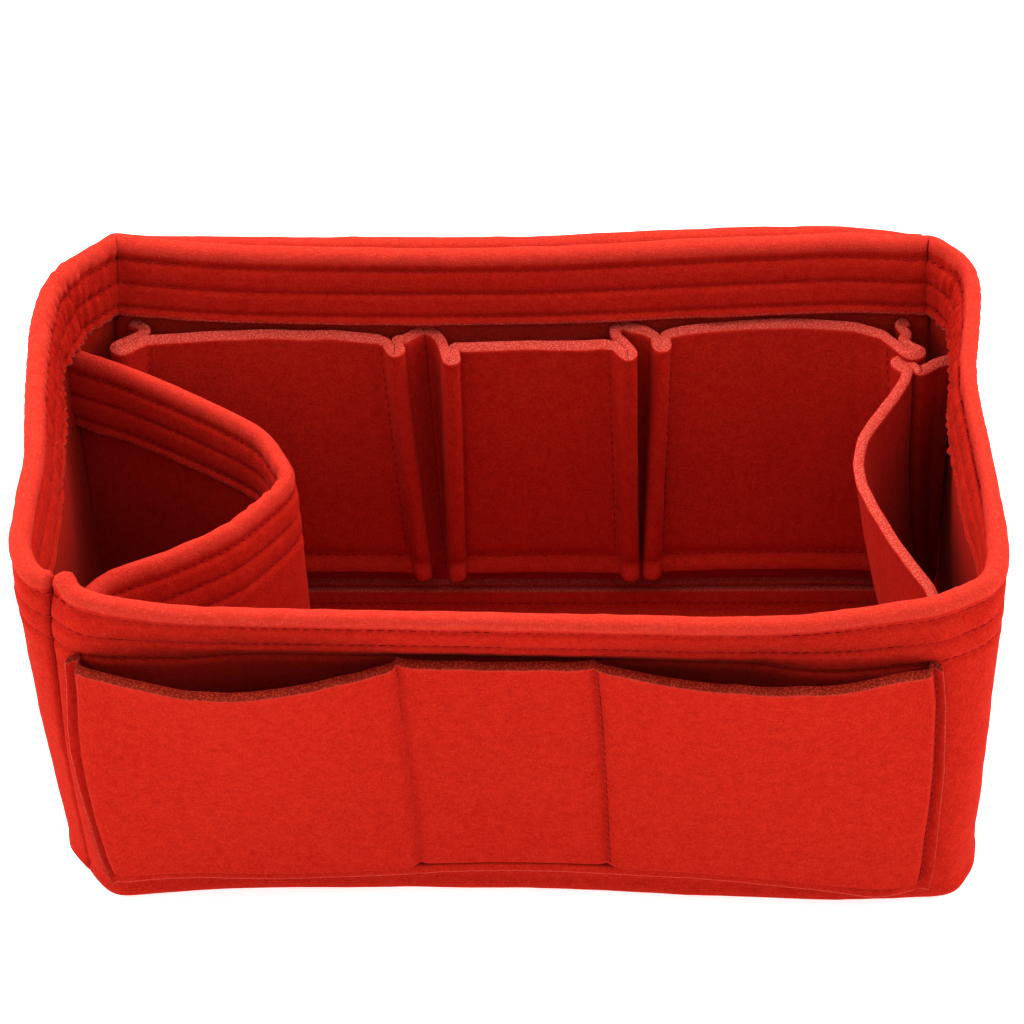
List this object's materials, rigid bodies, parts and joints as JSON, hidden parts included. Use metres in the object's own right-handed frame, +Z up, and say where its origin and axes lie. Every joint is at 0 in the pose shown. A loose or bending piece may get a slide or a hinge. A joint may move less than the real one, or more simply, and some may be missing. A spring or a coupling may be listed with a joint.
{
  "type": "purse organizer insert",
  "caption": "Open flared organizer insert of thick red felt for a handbag, with stitched folded rim, outer and inner slip pockets and a looped bottle cell.",
  "frame": {"origin": "middle of the underside of the base", "axes": "+X to the right along the length seen from the front pockets, -Y out of the front pockets, +Z up"},
  "size_m": [0.2982, 0.2114, 0.1305],
  "materials": {
    "red_felt": "thick needled felt, soft and matt with a short fuzz",
    "red_thread": "twisted sewing thread in the felt's own colour, sunk in the felt"
  },
  "bodies": {
    "root": {"back_left_tuck_thread": "red_thread", "back_pocket_edge_thread": "red_thread", "back_pocket_panel": "red_felt", "back_pocket_row_1": "red_thread", "back_pocket_row_2": "red_thread", "back_pocket_row_3": "red_thread", "back_right_tuck_thread": "red_thread", "back_wall": "red_felt", "base_panel": "red_felt", "base_seam_thread": "red_thread", "bottle_cell_row_inner_1": "red_thread", "bottle_cell_row_inner_2": "red_thread", "bottle_cell_row_inner_3": "red_thread", "bottle_cell_row_outer_1": "red_thread", "bottle_cell_row_outer_2": "red_thread", "bottle_cell_row_outer_3": "red_thread", "bottle_cell_wall": "red_felt", "corner_seam_thread": "red_thread", "front_pocket_divider_thread_left": "red_thread", "front_pocket_divider_thread_right": "red_thread", "front_pocket_edge_thread": "red_thread", "front_pocket_panel": "red_felt", "front_wall": "red_felt", "inner_pocket_left": "red_felt", "inner_pocket_left_foot_thread": "red_thread", "inner_pocket_left_ridge_thread_1": "red_thread", "inner_pocket_left_ridge_thread_2": "red_thread", "inner_pocket_middle": "red_felt", "inner_pocket_middle_foot_thread": "red_thread", "inner_pocket_middle_ridge_thread_1": "red_thread", "inner_pocket_middle_ridge_thread_2": "red_thread", "inner_pocket_right": "red_felt", "inner_pocket_right_foot_thread": "red_thread", "inner_pocket_right_ridge_thread_1": "red_thread", "inner_pocket_right_ridge_thread_2": "red_thread", "inner_pocket_valley_thread_left": "red_thread", "inner_pocket_valley_thread_right": "red_thread", "left_wall": "red_felt", "right_wall": "red_felt", "rim_row_inner_1": "red_thread", "rim_row_inner_2": "red_thread", "rim_row_inner_3": "red_thread", "rim_row_outer_1": "red_thread", "rim_row_outer_2": "red_thread", "rim_row_outer_3": "red_thread", "side_pocket": "red_felt", "side_pocket_foot_thread": "red_thread", "side_pocket_ridge_thread_1": "red_thread", "side_pocket_ridge_thread_2": "red_thread"}
  },
  "joints": []
}
